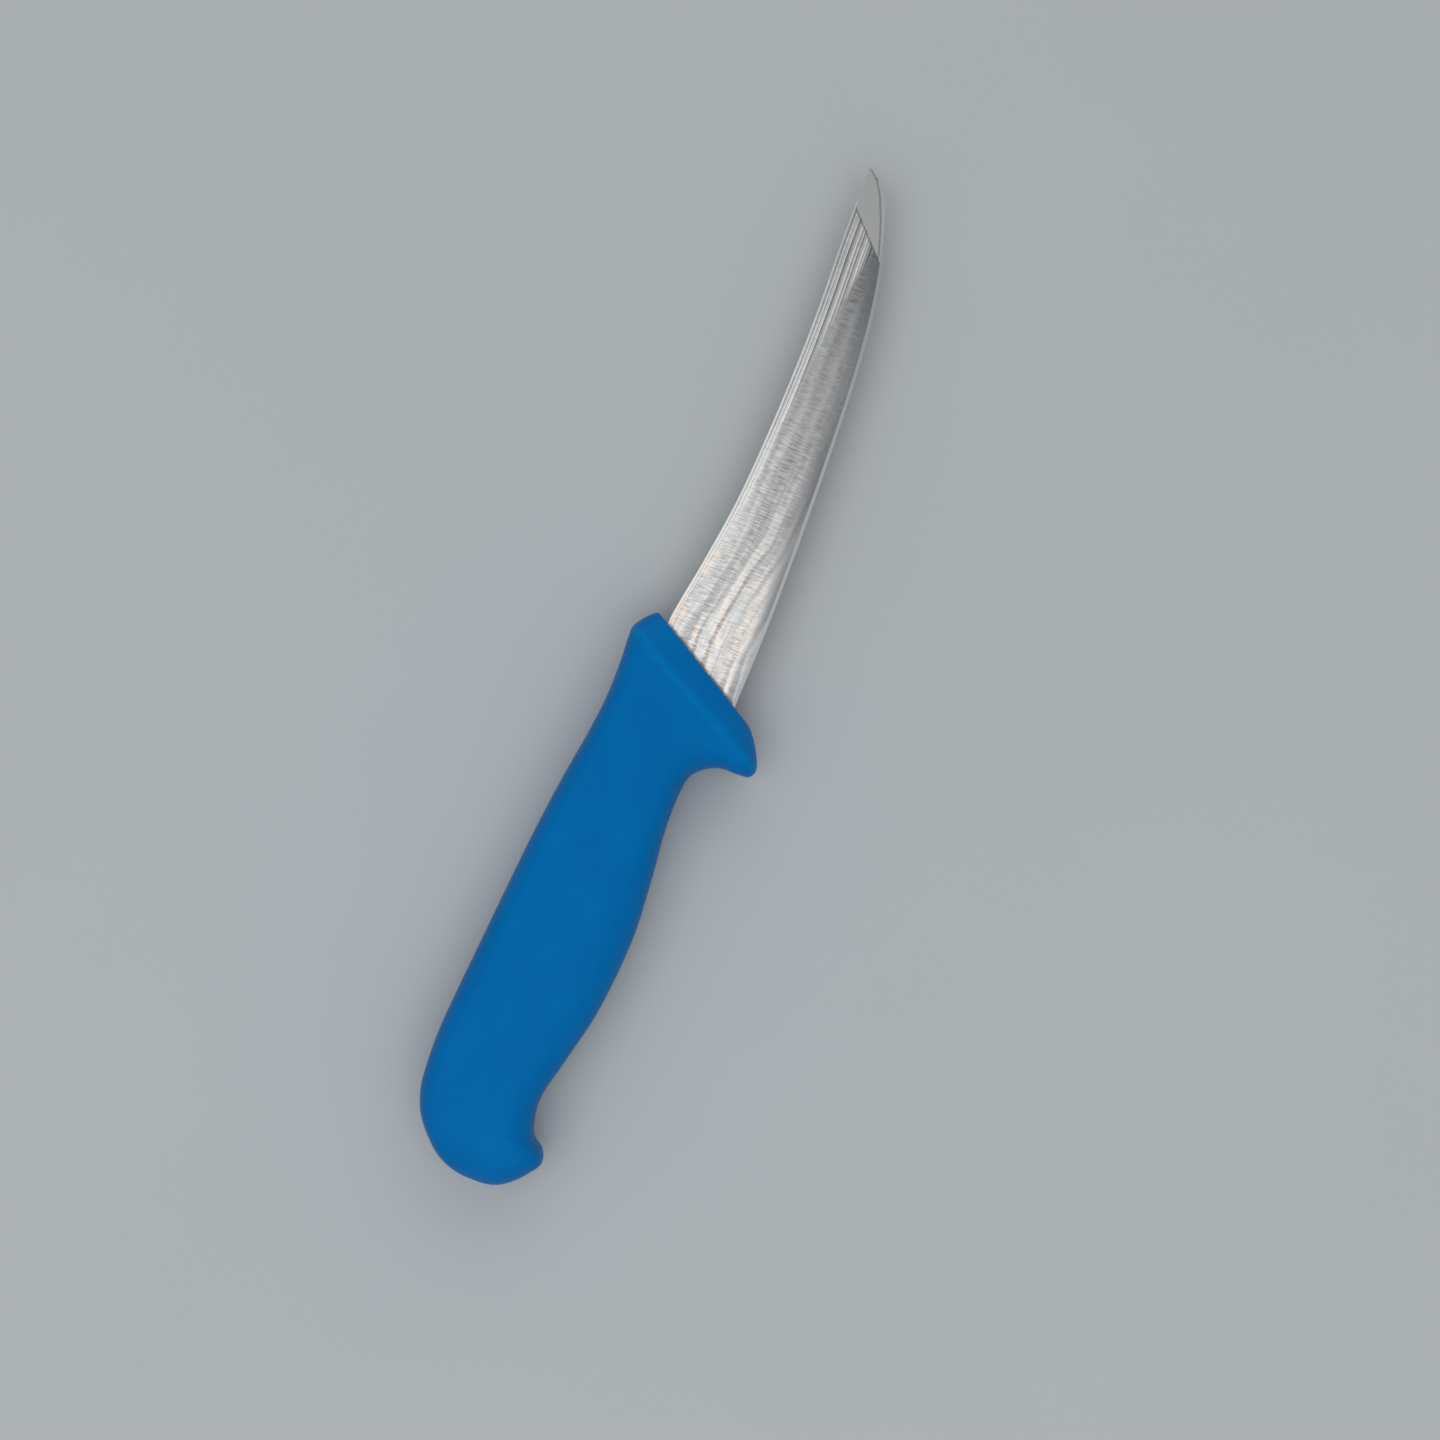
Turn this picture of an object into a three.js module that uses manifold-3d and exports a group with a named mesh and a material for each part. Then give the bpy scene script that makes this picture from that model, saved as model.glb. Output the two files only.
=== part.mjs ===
// A butcher's boning knife: a ground steel blade whose tang is locked inside a moulded plastic handle.
// Millimetres. X runs from the butt to the point, Y from the cutting edge to the spine, and Z up through
// the blade's thickness. The knife lies on its flank, with the origin under the middle of its box.

import * as THREE from "three";
import { mergeVertices } from "three/addons/utils/BufferGeometryUtils.js";
import Module from "manifold-3d";

const wasm = await Module();
wasm.setup();

// Blade
const BLADE_LENGTH = 130; // front of the handle to the point, along the axis
const HEEL_WIDTH = 23.2; // spine to edge where the blade leaves the handle
const SPINE_LOW = 5.4; // lowest stretch of the hollow spine, above the axis
const POINT_RISE = 6.4; // point above the axis
const POINT_BLUNT = 0.7; // width left at the very point
const SPINE_THICKNESS = 2.2; // at the handle, and of the tang
const POINT_THICKNESS = 1.1; // spine at the point
const BEVEL_WIDTH = 1.1; // cutting bevel
const BEVEL_THICKNESS = 0.6; // blade just behind the cutting bevel
const BEVEL_SHARE = 0.5; // most of the blade's width that the bevel takes, at the point
const FACET_SPINE = 10.4; // where the ground facet of the point leaves the spine, back from the point
const FACET_EDGE = 21.5; // where it reaches the edge, back from the point
const FACET_THICKNESS = 0.45; // what the facet leaves at the point

// Tang
const ROOT_DEPTH = 8; // full width of the blade goes this far into the handle
const ROOT_STEP = 2.3; // step in from the spine and from the edge where the tang starts
const SHOULDER_LENGTH = 7; // slope from the root down to the straight bar
const TANG_WIDTH = 13; // straight bar of the tang
const TANG_COVER = 30; // plastic behind the end of the tang
const TANG_RISE = 4.4; // middle of the tang above the axis where the bar starts
const TANG_CLIMB = 3.4; // further rise to the end of the bar
const LOCK_HOLE = 6; // holes in the tang that the plastic flows through
const LOCK_COUNT = 3;
const LOCK_START = 5; // first hole's middle from the start of the bar
const LOCK_END = 9; // last hole's middle from the end of the tang
const MOULD_GAP = 0.3; // between the steel and the plastic around it

// Handle, seen from the side
const HANDLE_LENGTH = 138.5; // front face on the axis to the end of the butt
const BACK_HEIGHT = 27; // highest point of the back above the axis
const BELLY_DEPTH = 9.3; // lowest point of the belly below the axis
const BUTT_LENGTH = 22.5; // dome and hook of the butt
const BUTT_RISE = 5.7; // end of the butt above the axis
const HOOK_DEPTH = 8.7; // tip of the butt's hook below the axis
const NECK_RISE = 6.7; // rise of the belly to the neck before the hook
const HOLLOW_LENGTH = 10.8; // finger hollow, back from the tip of the guard
const HOLLOW_RISE = 2.5; // rise of the belly into the finger hollow
const FRONT_RAKE = THREE.MathUtils.degToRad(29.9); // lean of the front face, forward at the spine
const NOSE_LIP = 3; // handle above the spine on the front face
const NOSE_LENGTH = 5.6; // sloping top of the nose
const NOSE_RISE = 4.6; // rise of that slope to the back
const NOSE_BOW = 0.5; // bulge of that slope
const GUARD_LIP = 5; // handle below the edge on the front face
const GUARD_REACH = 9.65; // tip of the guard behind its front corner
const GUARD_HANG = 5.7; // tip of the guard below its front corner
const GUARD_BOW = 0.7; // bulge of the guard's lower face
const GUARD_HEIGHT = 11.7; // rear face of the guard, from its tip up to the finger hollow
const GUARD_LEAN = 4.2; // how far that face leans back
const THUMB_LENGTH = 27.2; // level rest for the thumb behind the nose

// Handle, seen from above
const ACROSS_FLATS = 20; // between the two flat flanks
const SWELL_CROWN = 1.8; // how far the rounded flanks would stand over both flats, at the palm
const BUTT_CROWN = 1.2; // the same, at the butt
const RIDGE_CROWN = 0.6; // the same, where the collar starts to slope to the blade
const BUTT_ROUND = 11; // depth of the dome's rounding
const BUTT_END = 2.6; // thickness of the patch at the end of the dome
const FRONT_THICKNESS = 11; // at the front face
const SECTION_POWER = 2.9; // 2 is an oval, more is boxier
const SECTION_EGG = 0.1; // how much wider the back of a section is than its middle

// Fineness of the curves
const RING_SIDES = 28;
const HANDLE_STEPS = 3; // rings from one station to the next
const BLADE_STEPS = 5;
const HOLE_SIDES = 24;
const CURVE_HALVINGS = 40; // how finely a place on a curve is searched

const rake = Math.tan(FRONT_RAKE);
const onFront = (y) => [y * rake, y];
const heel = HEEL_WIDTH / 2;
const butt = -HANDLE_LENGTH;
const { lerp } = THREE.MathUtils;

// A closed skin over a row of rings of equal count, with a fan over each end
function loft(rings) {
  const count = rings[0].length;
  const points = rings.flat();
  const faces = [];
  for (let ring = 0; ring + 1 < rings.length; ring += 1) {
    for (let side = 0; side < count; side += 1) {
      const a = ring * count + side;
      const b = ring * count + ((side + 1) % count);
      faces.push(a, b, b + count, a, b + count, a + count);
    }
  }
  const last = (rings.length - 1) * count;
  points.push(middle(rings[0]), middle(rings[rings.length - 1]));
  for (let side = 0; side < count; side += 1) {
    const next = (side + 1) % count;
    faces.push(points.length - 2, next, side);
    faces.push(points.length - 1, last + side, last + next);
  }
  const geometry = new THREE.BufferGeometry().setFromPoints(points);
  geometry.setIndex(faces);
  return geometry;
}

function middle(ring) {
  const sum = ring.reduce((total, point) => total.add(point), new THREE.Vector3());
  return sum.divideScalar(ring.length);
}

// A closed geometry as a solid that can be joined and cut
function solid(geometry) {
  const bare = geometry.clone();
  bare.deleteAttribute("normal");
  bare.deleteAttribute("uv");
  const merged = mergeVertices(bare);
  const vertProperties = new Float32Array(merged.attributes.position.array);
  const triVerts = new Uint32Array(merged.index.array);
  return new wasm.Manifold(new wasm.Mesh({ numProp: 3, vertProperties, triVerts }));
}

function meshOf(name, body, material) {
  const { vertProperties, triVerts } = body.getMesh();
  const geometry = new THREE.BufferGeometry();
  geometry.setAttribute("position", new THREE.BufferAttribute(vertProperties, 3));
  geometry.setIndex(new THREE.BufferAttribute(triVerts, 1));
  geometry.computeVertexNormals();
  const mesh = new THREE.Mesh(geometry, material);
  mesh.name = name;
  return mesh;
}

// A smooth curve through [x, y] or [x, y, z] points, one share of the curve for each stretch
function curveThrough(points) {
  const vectors = points.map((point) => new THREE.Vector3(point[0], point[1], point[2] ?? 0));
  return new THREE.CatmullRomCurve3(vectors, false, "centripetal");
}

// Point of a curve that runs forward in X, at one place in X
function atX(curve, x) {
  let before = 0;
  let after = 1;
  for (let halving = 0; halving < CURVE_HALVINGS; halving += 1) {
    const share = (before + after) / 2;
    if (curve.getPoint(share).x < x) {
      before = share;
    } else {
      after = share;
    }
  }
  return curve.getPoint(after);
}

function shares(stretches, steps) {
  const total = stretches * steps;
  return Array.from({ length: total + 1 }, (_, step) => step / total);
}

// Blade outline: [share of the blade's length, share of the fall or rise of that line]
const SPINE_FALL = [[0.18, 0.6], [0.31, 0.24], [0.435, 0.08], [0.605, 0]];
const SPINE_CLIMB = [[0.73, 0.2], [0.845, 0.8], [0.92, 1], [0.965, 1.05]];
const EDGE_CLIMB = [
  [0.108, -0.017], [0.277, 0.003], [0.435, 0.044], [0.615, 0.117],
  [0.746, 0.222], [0.846, 0.367], [0.915, 0.528], [0.962, 0.672],
];

function spineLine(grow) {
  const start = onFront(heel);
  const fall = SPINE_FALL.map(([x, y]) => [x * BLADE_LENGTH, SPINE_LOW + y * (heel - SPINE_LOW)]);
  const climb = SPINE_CLIMB.map(([x, y]) => [x * BLADE_LENGTH, SPINE_LOW + y * (POINT_RISE - SPINE_LOW)]);
  const root = [start[0] - ROOT_DEPTH - grow, start[1]];
  const line = [root, start, ...fall, ...climb, [BLADE_LENGTH, POINT_RISE]];
  return curveThrough(line.map(([x, y]) => [x, y + grow]));
}

function edgeLine(grow) {
  const start = onFront(-heel);
  const climb = EDGE_CLIMB.map(([x, y]) => [x * BLADE_LENGTH, -heel + y * (POINT_RISE + heel)]);
  const point = [BLADE_LENGTH - POINT_BLUNT / 2, POINT_RISE - POINT_BLUNT];
  const root = [start[0] - ROOT_DEPTH - grow, start[1]];
  const line = [root, start, ...climb, point];
  return curveThrough(line.map(([x, y]) => [x, y - grow]));
}

const spineHalf = (x) => {
  const share = THREE.MathUtils.clamp(x / BLADE_LENGTH, 0, 1);
  return lerp(SPINE_THICKNESS, POINT_THICKNESS, share) / 2;
};

// The ground wedge, grown on all sides where it stands for the space it takes in the handle
function groundBlade(grow) {
  const spine = spineLine(grow);
  const edge = edgeLine(grow);
  const rings = shares(spine.points.length - 1, BLADE_STEPS).map((share) => {
    const back = spine.getPoint(share);
    const front = edge.getPoint(share);
    const width = back.distanceTo(front);
    const bevelTop = front.clone().lerp(back, Math.min(BEVEL_WIDTH / width, BEVEL_SHARE));
    const half = spineHalf(back.x) + grow;
    const thin = Math.min(BEVEL_THICKNESS / 2, spineHalf(back.x)) + grow;
    return [
      new THREE.Vector3(back.x, back.y, half),
      new THREE.Vector3(bevelTop.x, bevelTop.y, thin),
      front,
      new THREE.Vector3(bevelTop.x, bevelTop.y, -thin),
      new THREE.Vector3(back.x, back.y, -half),
    ];
  });
  return solid(loft(rings));
}

// Everything on one side of the plane of the point's facet, above the blade or below it
function facetCut(side) {
  const low = atX(edgeLine(0), BLADE_LENGTH - FACET_EDGE).setZ(side * BEVEL_THICKNESS / 2);
  const high = atX(spineLine(0), BLADE_LENGTH - FACET_SPINE);
  high.setZ(side * spineHalf(high.x));
  const point = new THREE.Vector3(BLADE_LENGTH, POINT_RISE, side * FACET_THICKNESS / 2);
  const along = high.clone().sub(low).normalize();
  const out = along.clone().cross(point.clone().sub(low)).normalize();
  out.multiplyScalar(Math.sign(out.z) * side);
  const across = out.clone().cross(along);
  const reach = 2 * FACET_EDGE;
  const box = new THREE.BoxGeometry(reach, reach, SPINE_THICKNESS);
  const place = low.clone().add(high).multiplyScalar(0.5).addScaledVector(out, SPINE_THICKNESS / 2);
  box.applyMatrix4(new THREE.Matrix4().makeBasis(along, across, out).setPosition(place));
  return solid(box);
}

// Where the straight bar of the tang starts and where the middle of its round end lies
const barStart = onFront(ROOT_STEP - heel)[0] - ROOT_DEPTH - SHOULDER_LENGTH;
const barEnd = butt + TANG_COVER + TANG_WIDTH / 2;
const barMiddle = (x) => TANG_RISE + (TANG_CLIMB * (x - barStart)) / (barEnd - barStart);

// The flat tang with its holes: wide inside the root of the blade, then a straight bar with a round end
function tangPlate(grow) {
  const half = TANG_WIDTH / 2 + grow;
  const root = heel - ROOT_STEP + grow;
  const [topX] = onFront(root);
  const [bottomX] = onFront(-root);
  const shape = new THREE.Shape();
  shape.moveTo(topX - ROOT_DEPTH / 2, root);
  shape.lineTo(topX - ROOT_DEPTH - grow, root);
  shape.lineTo(barStart - grow, barMiddle(barStart) + half);
  shape.lineTo(barEnd, barMiddle(barEnd) + half);
  shape.absarc(barEnd, barMiddle(barEnd), half, Math.PI / 2, (3 * Math.PI) / 2, false);
  shape.lineTo(barStart - grow, barMiddle(barStart) - half);
  shape.lineTo(bottomX - ROOT_DEPTH - grow, -root);
  shape.lineTo(bottomX - ROOT_DEPTH / 2, -root);
  shape.closePath();
  lockPlaces().forEach((x) => {
    shape.holes.push(new THREE.Path().absarc(x, barMiddle(x), LOCK_HOLE / 2 - grow, 0, 2 * Math.PI, true));
  });
  const depth = SPINE_THICKNESS + 2 * grow;
  const plate = new THREE.ExtrudeGeometry(shape, { depth, bevelEnabled: false, curveSegments: HOLE_SIDES });
  plate.translate(0, 0, -depth / 2);
  return solid(plate);
}

// Middles of the tang's holes, spread evenly along its straight bar
function lockPlaces() {
  const first = barStart - LOCK_START;
  const last = butt + TANG_COVER + LOCK_END;
  const share = (lock) => (LOCK_COUNT > 1 ? lock / (LOCK_COUNT - 1) : 0);
  return Array.from({ length: LOCK_COUNT }, (_, lock) => lerp(first, last, share(lock)));
}

const bladeBlank = (grow) => groundBlade(grow).add(tangPlate(grow));

// The rounded nose over the blade and the guard under it, as [x, y] points
const noseTip = onFront(heel + NOSE_LIP);
const noseTop = [noseTip[0] - NOSE_LENGTH, noseTip[1] + NOSE_RISE];
const guardFront = onFront(-heel - GUARD_LIP);
const guardTip = [guardFront[0] - GUARD_REACH, guardFront[1] - GUARD_HANG];

// A point of the line from one point to another, bowed out to its right by a sag
function bowed(from, to, share, sag) {
  const [x, y] = [to[0] - from[0], to[1] - from[1]];
  const out = (4 * share * (1 - share) * sag) / Math.hypot(x, y);
  return [from[0] + x * share + y * out, from[1] + y * share - x * out];
}

// Stations of the handle from the butt to the front face: the back's point, the belly's point and the
// thickness of the rounded section between them.
function handleStations() {
  const buttX = (share) => butt + share * BUTT_LENGTH;
  const gripX = (share) => lerp(buttX(1), guardTip[0] - HOLLOW_LENGTH, share);
  const dome = (share, rise) => [buttX(share), lerp(BUTT_RISE, BACK_HEIGHT, rise)];
  const hook = (share, fall) => [buttX(share), lerp(BUTT_RISE, -HOOK_DEPTH, fall)];
  const palm = (share, rise) => [gripX(share), lerp(noseTop[1], BACK_HEIGHT, rise)];
  const thumb = (share, rise) => [noseTop[0] - share * THUMB_LENGTH, lerp(noseTop[1], BACK_HEIGHT, rise)];
  const heelOfHand = (share, rise) => [gripX(share), rise * NECK_RISE - BELLY_DEPTH];
  const fingers = (share, rise) => [gripX(share), rise * HOLLOW_RISE - BELLY_DEPTH];
  const guard = (lean, rise) => [guardTip[0] - lean * GUARD_LEAN, guardTip[1] + rise * GUARD_HEIGHT];
  const round = (share) => Math.sqrt(1 - (1 - Math.min(share * BUTT_LENGTH / BUTT_ROUND, 1)) ** 2);
  const buttThickness = (share) => Math.max(round(share) * (ACROSS_FLATS + BUTT_CROWN), BUTT_END);
  const swell = ACROSS_FLATS + SWELL_CROWN;
  const ridge = ACROSS_FLATS + RIDGE_CROWN;
  const collar = (share) => lerp(ridge, FRONT_THICKNESS, share);
  return [
    // Dome of the butt and its hook
    [dome(0, 0.08), hook(0, 0.12), buttThickness(0)],
    [dome(0.036, 0.29), hook(0.036, 0.4), buttThickness(0.036)],
    [dome(0.124, 0.5), hook(0.124, 0.62), buttThickness(0.124)],
    [dome(0.29, 0.695), hook(0.29, 0.86), buttThickness(0.29)],
    [dome(0.485, 0.86), hook(0.44, 1), buttThickness(0.485)],
    [dome(0.63, 0.915), hook(0.56, 0.93), buttThickness(0.63)],
    [dome(0.78, 0.96), hook(0.66, 0.72), buttThickness(0.78)],
    [dome(1, 0.985), heelOfHand(-0.037, 0.94), buttThickness(1)],
    // Palm swell and belly
    [palm(0.09, 1), heelOfHand(0.03, 1), swell],
    [palm(0.2, 0.95), heelOfHand(0.15, 0.66), swell],
    [palm(0.37, 0.82), heelOfHand(0.315, 0.21), swell],
    [palm(0.55, 0.68), heelOfHand(0.55, 0), swell],
    [palm(0.73, 0.525), fingers(0.73, 0.44), swell],
    [palm(0.89, 0.335), fingers(0.87, 0.96), swell],
    // Finger hollow and guard
    [thumb(1, 0.065), fingers(0.987, 1), swell],
    [thumb(0.68, -0.04), fingers(1.042, 0.64), swell],
    [thumb(0.475, -0.05), guard(1, 1), swell],
    [thumb(0.31, -0.04), guard(0.62, 0.685), swell],
    [thumb(0.185, -0.01), guard(0.6, 0.34), ridge],
    [thumb(0.08, 0.01), guard(0.48, 0.085), ridge],
    // Collar that slopes to the blade
    [noseTop, guardTip, collar(0.16)],
    [bowed(noseTop, noseTip, 0.4, -NOSE_BOW), bowed(guardTip, guardFront, 0.46, GUARD_BOW), collar(0.42)],
    [bowed(noseTop, noseTip, 0.78, -NOSE_BOW), bowed(guardTip, guardFront, 0.8, GUARD_BOW), collar(0.72)],
    [noseTip, guardFront, FRONT_THICKNESS],
  ];
}

// One boxy oval between a back point and a belly point, flattened at the flanks
function handleRing(back, belly, thickness) {
  const centre = back.clone().add(belly).multiplyScalar(0.5);
  const reach = back.clone().sub(belly).multiplyScalar(0.5);
  const rounded = (value) => Math.sign(value) * Math.abs(value) ** (2 / SECTION_POWER);
  return Array.from({ length: RING_SIDES }, (_, side) => {
    const turn = (2 * Math.PI * side) / RING_SIDES;
    const up = rounded(Math.cos(turn));
    const out = rounded(Math.sin(turn)) * (1 + SECTION_EGG * up) * thickness / 2;
    const flat = ACROSS_FLATS / 2;
    const point = centre.clone().addScaledVector(reach, up);
    point.z = THREE.MathUtils.clamp(out, -flat, flat);
    return point;
  });
}

function handleBody() {
  const stations = handleStations();
  const back = curveThrough(stations.map(([point, , thickness]) => [...point, thickness]));
  const belly = curveThrough(stations.map(([, point, thickness]) => [...point, thickness]));
  const rings = shares(stations.length - 1, HANDLE_STEPS).map((share) => {
    const high = back.getPoint(share);
    const low = belly.getPoint(share);
    const thickness = (high.z + low.z) / 2;
    return handleRing(high.setZ(0), low.setZ(0), thickness);
  });
  return solid(loft(rings));
}

const steel = new THREE.MeshStandardMaterial({ color: 0xb9bcc0, roughness: 0.32, metalness: 1 });
const bluePlastic = new THREE.MeshStandardMaterial({ color: 0x0f68a6, roughness: 0.42, metalness: 0 });

const blade = bladeBlank(0).subtract(facetCut(1)).subtract(facetCut(-1));
const handle = handleBody().subtract(bladeBlank(MOULD_GAP));

const knife = new THREE.Group();
knife.add(meshOf("blade", blade, steel), meshOf("handle", handle, bluePlastic));

// The origin goes under the middle of the knife's box, on the surface that it lies on
const box = new THREE.Box3().setFromObject(knife);
const centre = box.getCenter(new THREE.Vector3());
knife.position.set(-centre.x, -centre.y, -box.min.z);

export default knife;
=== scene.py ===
"""A butcher's boning knife: a ground steel blade whose tang is locked in a moulded plastic handle.

Both pieces are modelled in the frame's own place and size, in metres. The knife's own axis starts where the
front face of the handle crosses the middle of the heel. X runs from there to the point, Y to the spine and
Z up through the blade's thickness.
"""

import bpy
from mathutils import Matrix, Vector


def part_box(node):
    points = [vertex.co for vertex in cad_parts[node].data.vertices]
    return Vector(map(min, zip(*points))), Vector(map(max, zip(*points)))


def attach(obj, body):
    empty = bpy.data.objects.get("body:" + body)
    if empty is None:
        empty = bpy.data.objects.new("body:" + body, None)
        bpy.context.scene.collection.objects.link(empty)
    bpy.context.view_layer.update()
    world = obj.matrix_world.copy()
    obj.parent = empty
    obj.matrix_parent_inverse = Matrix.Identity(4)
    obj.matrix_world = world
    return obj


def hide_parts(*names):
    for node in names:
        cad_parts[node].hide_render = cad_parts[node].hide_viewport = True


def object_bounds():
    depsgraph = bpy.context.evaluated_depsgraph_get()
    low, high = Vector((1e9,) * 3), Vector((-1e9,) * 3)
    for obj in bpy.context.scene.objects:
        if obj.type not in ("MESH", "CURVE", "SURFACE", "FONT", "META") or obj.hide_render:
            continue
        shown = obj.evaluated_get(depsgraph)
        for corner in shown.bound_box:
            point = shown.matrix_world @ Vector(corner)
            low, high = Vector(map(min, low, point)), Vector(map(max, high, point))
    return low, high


bl_info = {
    "name": "Boning Knife",
    "version": (1, 0, 0),
    "blender": (4, 5, 0),
    "location": "View3D > Sidebar > Knife",
    "description": "Models a boning knife with a ground steel blade and a moulded handle",
    "category": "Add Mesh",
}

import math
from bisect import bisect_left
from typing import NamedTuple

import bmesh
import bpy
from bpy.props import FloatProperty, FloatVectorProperty, IntProperty, PointerProperty
from mathutils import Vector

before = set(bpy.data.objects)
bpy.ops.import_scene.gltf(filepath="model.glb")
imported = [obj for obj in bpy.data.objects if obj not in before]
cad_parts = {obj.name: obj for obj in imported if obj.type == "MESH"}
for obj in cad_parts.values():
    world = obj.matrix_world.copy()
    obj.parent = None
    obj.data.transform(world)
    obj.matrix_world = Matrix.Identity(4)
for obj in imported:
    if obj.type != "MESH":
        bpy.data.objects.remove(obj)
CAD_LOW, CAD_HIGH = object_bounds()

MM = 0.001
TINY = 0.001 * MM
ORIGIN = Vector((0, 0, 0))

# The two sizes that tie the knife's own axis to the frame's boxes
BLADE_LENGTH = 130
BACK_HEIGHT = 27
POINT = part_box("blade")[1]
FLANK_LOW, FLANK_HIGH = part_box("handle")
AXIS = Vector((
    POINT.x - BLADE_LENGTH * MM,
    FLANK_HIGH.y - BACK_HEIGHT * MM,
    (FLANK_LOW.z + FLANK_HIGH.z) / 2,
))

# Outline of the blade: a share of its length, and a share of the fall or climb of that line
SPINE_FALL = ((0.18, 0.6), (0.31, 0.24), (0.435, 0.08), (0.605, 0.0))
SPINE_CLIMB = ((0.73, 0.2), (0.845, 0.8), (0.92, 1.0), (0.965, 1.05))
EDGE_CLIMB = (
    (0.108, -0.017), (0.277, 0.003), (0.435, 0.044), (0.615, 0.117),
    (0.746, 0.222), (0.846, 0.367), (0.915, 0.528), (0.962, 0.672),
)

# Shares of a section of the blade: the most that its bevel takes, and the middle of an eased corner
BEVEL_SHARE = 0.5
CORNER_SHARE = 0.3

# Length of the pins that cut the tang's holes, in thicknesses of the blade
PIN_LENGTH = 3

# Fineness of the meshes and of the lines that are measured
BLADE_STEPS = 8
HOLE_SIDES = 40
END_SEGMENTS = 12
RIM_SEGMENTS = 3
SECTION_SIDES = 96
SMOOTH_STEPS = 6
LINE_SAMPLES = 6000
FLOOR_CUTS = 3

# Sharpest turn between faces that are still shaded as one
BLADE_CREASE = math.radians(1)
HANDLE_CREASE = math.radians(50)

# Ribs of the grip: their first and last station, rings to a rib, and ribs that rise at either end
RIB_FIRST = 8.7
RIB_LAST = 19.3
RIB_RINGS = 4
RIB_FADE = 10

# Rounding of the edges of the handle's flats, as a share of half its thickness
FLAT_EASE = 0.08

# Plots of the blade's lines: steps, millimetres behind the root, and millimetres to measure a slope on
PLOT_STEPS = 28
PLOT_MARGIN = 8
PLOT_PROBE = 1

# Soft boxes: where each stands, what it faces and its sides, in metres
TOP_BOX = ((-0.75, 0, 1.3), (-0.75, 0, 0), (1.8, 2.4))
SIDE_BOX = ((1.5, 0.3, 1.0), (0, 0, 0), (2.0, 1.4))

# Space that the floor leaves under the knife
FLOOR_GAP = 0.2 * MM


# Sizes and colours that a user may change

def size(name, description, millimetres):
    """A length, given in millimetres."""
    return FloatProperty(
        name=name, description=description, default=millimetres * MM, unit="LENGTH", precision=5
    )


def share(name, description, default):
    """A plain number."""
    return FloatProperty(name=name, description=description, default=default, precision=3)


def angle(name, description, degrees):
    """An angle, given in degrees."""
    return FloatProperty(
        name=name, description=description, default=math.radians(degrees), subtype="ANGLE", unit="ROTATION"
    )


def power(name, description, watts):
    """Power of a light."""
    return FloatProperty(name=name, description=description, default=watts, unit="POWER")


def colour(name, description, default):
    """A colour in linear light."""
    return FloatVectorProperty(
        name=name, description=description, default=default, size=3, min=0, max=1, subtype="COLOR"
    )


class KNIFE_PG_blade(bpy.types.PropertyGroup):
    """Sizes of the blade and of its hidden tang."""

    length: size("Length", "From the front face of the handle to the point", BLADE_LENGTH)
    heel_width: size("Heel width", "From spine to edge where the blade leaves the handle", 23.2)
    spine_low: size("Spine low", "Height of the lowest stretch of the spine", 5.4)
    point_rise: size("Point rise", "Height of the point", 6.4)
    point_blunt: size("Point width", "Width left at the very point", 0.7)
    spine_thickness: size("Spine thickness", "Thickness of the spine at the handle", 2.2)
    point_thickness: size("Point thickness", "Thickness of the spine at the point", 1.1)
    spine_ease: size("Spine easing", "How far the corners of the spine are taken off", 0.3)
    bevel_width: size("Bevel width", "Width of the cutting bevel", 0.85)
    bevel_thickness: size("Bevel thickness", "Thickness just behind the cutting bevel", 0.6)
    facet_spine: size("Facet at spine", "From the point to where its facet leaves the spine", 10.4)
    facet_edge: size("Facet at edge", "From the point to where its facet reaches the edge", 21.5)
    facet_thickness: size("Facet thickness", "Thickness that the facet leaves at the point", 0.45)
    root_depth: size("Root depth", "How far the full width goes into the handle", 8)
    root_step: size("Root step", "Step in from spine and edge where the tang starts", 2.3)
    shoulder_length: size("Shoulder", "Slope from the root down to the straight bar", 7)
    tang_width: size("Tang width", "Width of the straight bar", 13)
    tang_cover: size("Tang cover", "Plastic behind the end of the tang", 30)
    tang_rise: size("Tang rise", "Height of the bar's middle where it starts", 4.4)
    tang_climb: size("Tang climb", "Further rise to the end of the bar", 3.4)
    lock_hole: size("Lock hole", "Diameter of the holes in the tang", 6)
    lock_start: size("First lock hole", "Its middle, from the start of the bar", 5)
    lock_end: size("Last lock hole", "Its middle, from the end of the tang", 9)
    lock_count: IntProperty(name="Lock holes", description="Number of holes in the tang", default=3, min=2)


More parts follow.
